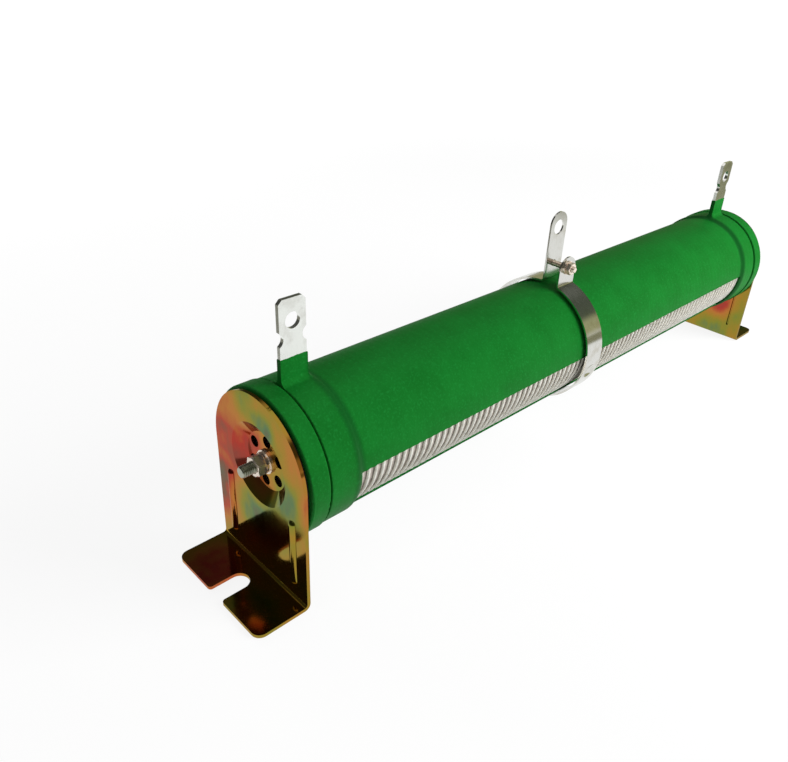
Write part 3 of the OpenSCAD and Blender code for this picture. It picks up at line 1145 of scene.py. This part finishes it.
@dataclass
class SliderTap(Assembly):
    """Clamp band that slides along the tube, with its screw."""

    thread: Thread = Thread(radius=1.5 * MM, pitch=0.5 * MM, depth=0.3 * MM, chamfer=0.3 * MM)
    head_h: float = 2.2 * MM
    head_edge: float = 0.4 * MM
    edge_bend: float = 0.3
    slot_w: float = 0.8 * MM
    slot_h: float = 0.9 * MM
    head_steps: int = 20
    contact_angle: float = math.radians(-17)
    rim_inner: float = 3.5 * MM
    rim_outer: float = 4.9 * MM
    rim_rise: float = 0.28 * MM
    rim_seat: float = 0.2
    rim_sides: int = 64
    rim_rows: int = 8

    def __post_init__(self) -> None:
        """Take the places from the solids."""
        low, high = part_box("slider_band")
        self.x = (low.x + high.x) / 2
        self.band_r = (high.y - low.y) / 2
        low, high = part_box("ceramic_tube")
        self.axis_z = (low.z + high.z) / 2
        low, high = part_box("slider_screw")
        self.tip_y = low.y
        self.head_top = Vector((self.x, high.y, (low.z + high.z) / 2))
        self.head_r = (high.x - low.x) / 2

    def build(self) -> None:
        """Make the screw and the pressed contact's rim."""
        self._screw()
        self._rim()

    def _screw(self) -> None:
        """Make the screw: a slotted head at the back and a thread towards the front."""
        skin = Skin()
        root = self.head_top - Vector((0.0, self.head_h - self.head_edge, 0.0))
        shank = self.thread.wind(skin, root, Vector((0.0, -1.0, 0.0)), root.y - self.tip_y)
        skin.loft(shank, ring=True)
        skin.cap(shank[0], outwards=False)
        skin.cap(shank[-1], outwards=True)
        whole = [math.pi * i / self.head_steps for i in range(2 * self.head_steps)]
        self._stack(skin, whole, ((0.0, 0.0), (self.head_h - self.slot_h, 0.0)))
        gap = math.asin(self.slot_w / 2 / self.head_r)
        span = math.pi - 2 * gap
        bend = self.head_edge * self.edge_bend
        levels = (
            (self.head_h - self.slot_h, 0.0),
            (self.head_h - self.head_edge, 0.0),
            (self.head_h - bend, bend),
            (self.head_h, self.head_edge),
        )
        for side in (0.0, math.pi):
            arc = [side + gap + span * i / self.head_steps for i in range(self.head_steps + 1)]
            self._stack(skin, arc, levels)
        screw = skin.piece("clamp_screw", ZINC, Body.SLIDER, Slot.SCREW, self.thread.crease)
        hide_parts("slider_screw")

    def _stack(self, skin: Skin, angles: Sequence[float], levels: Sequence[tuple[float, float]]) -> None:
        """Add one closed block of the head.

        Args:
            skin: Skin to add to.
            angles: Angles of the outline's points round the screw.
            levels: Height above the seat and inset of each outline.
        """
        rows = []
        for height, inset in levels:
            middle = self.head_top + Vector((0.0, height - self.head_h, 0.0))
            radius = self.head_r - inset
            rows.append(skin.row([
                middle + radius * Vector((math.cos(angle), 0.0, math.sin(angle))) for angle in angles
            ]))
        skin.loft(rows[::-1], ring=True)
        skin.cap(rows[0], outwards=True)
        skin.cap(rows[-1], outwards=False)

    def _rim(self) -> None:
        """Raise a low rim round the dimple that is pressed in the band."""
        skin = Skin()
        rows = []
        for i in range(self.rim_rows + 1):
            share = i / self.rim_rows
            rho = self.rim_inner + (self.rim_outer - self.rim_inner) * share
            radius = self.band_r + self.rim_rise * (math.sin(math.pi * share) - self.rim_seat)
            ring = []
            for k in range(self.rim_sides):
                turn = 2 * math.pi * k / self.rim_sides
                angle = self.contact_angle + rho * math.sin(turn) / self.band_r
                ring.append(round_point(self.x + rho * math.cos(turn), radius, angle, self.axis_z))
            rows.append(skin.row(ring))
        skin.loft(rows[::-1], ring=True)
        skin.piece("contact_rim", NICKEL, Body.SLIDER, Slot.SLIDER)

    def dress(self) -> None:
        """Finish the band and its fasteners."""
        dress("slider_band", NICKEL)
        for node in ("slider_washer", "slider_nut"):
            dress(node, ZINC)


@dataclass(frozen=True)
class Lamp:
    """Square soft lamp that looks at the object and that metal doesn't mirror."""

    name: str
    place: Colour
    size: float
    power: float
    aim: Colour = (0.0, 0.0, 50 * MM)

    def hang(self) -> None:
        """Put the lamp in the scene."""
        data = bpy.data.lights.new(self.name, "AREA")
        data.shape = "SQUARE"
        data.size = self.size
        data.energy = self.power
        lamp = bpy.data.objects.new(self.name, data)
        lamp.visible_glossy = False
        lamp.location = self.place
        lamp.rotation_mode = "QUATERNION"
        lamp.rotation_quaternion = (Vector(self.aim) - Vector(self.place)).to_track_quat("-Z", "Y")
        bpy.context.scene.collection.objects.link(lamp)


@dataclass
class Studio:
    """Camera, floor, lamps and surroundings."""

    image_width: float = 788.0
    focal_px: float = 744.46
    sensor: float = 36.0
    camera_at: Colour = (-308.66 * MM, -199.59 * MM, 226.3 * MM)
    yaw: float = math.radians(44.17)
    pitch: float = math.radians(-30.09)
    roll: float = math.radians(2.39)
    clip: Limits = (0.01, 100.0)
    floor_size: float = 24.0
    floor_gap: float = 0.1 * MM
    floor_colour: Colour = (0.38, 0.38, 0.38)
    floor_glow: float = 1.45
    floor_share: float = 0.6
    white: Colour = (1.0, 1.0, 1.0)
    far_white: Colour = (1.25, 1.25, 1.25)
    far_limits: Limits = (0.5, 1.5)
    open_side: Colour = (0.8, -0.6, 0.0)
    sheet: Colour = (0.63, 0.64, 0.63)
    sheet_front: Colour = (0.165, 0.165, 0.1)
    front_limits: Limits = (0.34, 0.44)
    sheet_back: Colour = (0.15, 0.15, 0.125)
    back_limits: Limits = (-0.28, -0.3)
    ambient: Colour = (0.3, 0.3, 0.3)
    room: tuple[Stop, ...] = (
        (0.0, (0.6, 0.6, 0.5)),
        (0.1, (0.38, 0.38, 0.2)),
        (0.28, (0.36, 0.37, 0.2)),
        (0.38, (0.08, 0.1, 0.065)),
        (0.63, (0.07, 0.08, 0.06)),
        (0.76, (0.95, 0.93, 0.88)),
    )
    shade: tuple[Stop, ...] = (
        (0.0, (0.115, 0.115, 0.095)),
        (0.08, (0.05, 0.052, 0.044)),
        (0.8, (0.05, 0.052, 0.044)),
        (0.88, (1.0, 0.98, 0.95)),
    )
    shade_limits: Limits = (-0.2, 0.4)
    lamps: tuple[Lamp, ...] = (
        Lamp("key", place=(0.54, -0.68, 0.4), size=0.6, power=13.2),
        Lamp("fill", place=(-0.1, 1.0, 0.18), size=0.7, power=6.0),
    )

    def build(self) -> None:
        """Set up the whole studio."""
        self._camera()
        self._floor()
        self._world()
        for lamp in self.lamps:
            lamp.hang()
        bpy.context.scene.view_settings.view_transform = "Standard"

    def _camera(self) -> None:
        """Make the camera that sees what the photograph sees."""
        forward = Vector((
            math.sin(self.yaw) * math.cos(self.pitch),
            math.cos(self.yaw) * math.cos(self.pitch),
            math.sin(self.pitch),
        ))
        level = Vector((math.cos(self.yaw), -math.sin(self.yaw), 0.0))
        upward = level.cross(forward)
        right = math.cos(self.roll) * level + math.sin(self.roll) * upward
        up = math.cos(self.roll) * upward - math.sin(self.roll) * level
        data = bpy.data.cameras.new("camera")
        data.sensor_width = self.sensor
        data.lens = self.sensor * self.focal_px / self.image_width
        data.clip_start, data.clip_end = self.clip
        camera = bpy.data.objects.new("camera", data)
        turned = Matrix((right, up, -forward)).transposed().to_4x4()
        camera.matrix_world = Matrix.Translation(self.camera_at) @ turned
        bpy.context.scene.collection.objects.link(camera)
        bpy.context.scene.camera = camera

    def _floor(self) -> None:
        """Lay the floor, a square just under the feet."""
        half = self.floor_size / 2
        mesh = bpy.data.meshes.new("floor")
        corners = [(-half, -half), (half, -half), (half, half), (-half, half)]
        mesh.from_pydata([(x, y, -self.floor_gap) for x, y in corners], [], [(0, 1, 2, 3)])
        mesh.materials.append(self._floor_material())
        floor = bpy.data.objects.new("floor", mesh)
        bpy.context.scene.collection.objects.link(floor)

    def _floor_material(self) -> bpy.types.Material:
        """Make the floor's look: white to the eye but still shaded, and a pale sheet to metal.

        Returns:
            The material.
        """
        material = bpy.data.materials.new("pale_floor")
        material.use_nodes = True
        graph = Graph(material.node_tree)
        point = graph.place()
        path = graph.add("ShaderNodeLightPath")
        mirrored = path.out("Is Glossy Ray")
        seen = (path * self.floor_share).at_least(mirrored).at_least(path.out("Is Transmission Ray"))
        reach = graph.along(point, self.open_side)
        sheet = graph.mix(reach.ramp(*self.front_limits), self.sheet, self.sheet_front)
        sheet = graph.mix(reach.ramp(*self.back_limits), sheet, self.sheet_back)
        far = graph.distance(point, (0.0, 0.0, 0.0)).ramp(*self.far_limits)
        glow = graph.mix(mirrored, graph.mix(far, self.white, self.far_white), sheet)
        matt = graph.add("ShaderNodeBsdfDiffuse", None, {"Color": self.floor_colour})
        bright = graph.add("ShaderNodeEmission", None, {"Color": glow, "Strength": self.floor_glow})
        both = graph.add("ShaderNodeMixShader", None, {0: seen, 1: matt, 2: bright})
        graph.add("ShaderNodeOutputMaterial", None, {"Surface": both})
        return material

    def _world(self) -> None:
        """Light the room evenly, show white to the eye and a dim studio to metal."""
        world = bpy.data.worlds.new("studio")
        bpy.context.scene.world = world
        world.use_nodes = True
        graph = Graph(world.node_tree)
        direction = graph.add("ShaderNodeTexCoord").out("Generated")
        _, _, height = graph.axes(direction)
        path = graph.add("ShaderNodeLightPath")
        openness = graph.along(direction, self.open_side).ramp(*self.shade_limits)
        room = graph.mix(openness, graph.stops(height, self.shade), graph.stops(height, self.room))
        shown = graph.mix(path.out("Is Glossy Ray"), self.ambient, room)
        shown = graph.mix(path.at_least(path.out("Is Transmission Ray")), shown, self.white)
        sky = graph.add("ShaderNodeBackground", None, {"Color": shown})
        graph.add("ShaderNodeOutputWorld", None, {"Surface": sky})


def main() -> None:
    """Set up the studio, and build and dress the pieces in order."""
    logging.basicConfig(level=logging.INFO, format="%(name)s: %(message)s")
    Studio().build()
    winding = Winding()
    fittings = [EndFittings(end, winding) for end in End]
    for assembly in (winding, Coating(winding), TieRod(), *fittings, SliderTap()):
        assembly.build()
        assembly.dress()


if __name__ == "__main__":
    main()
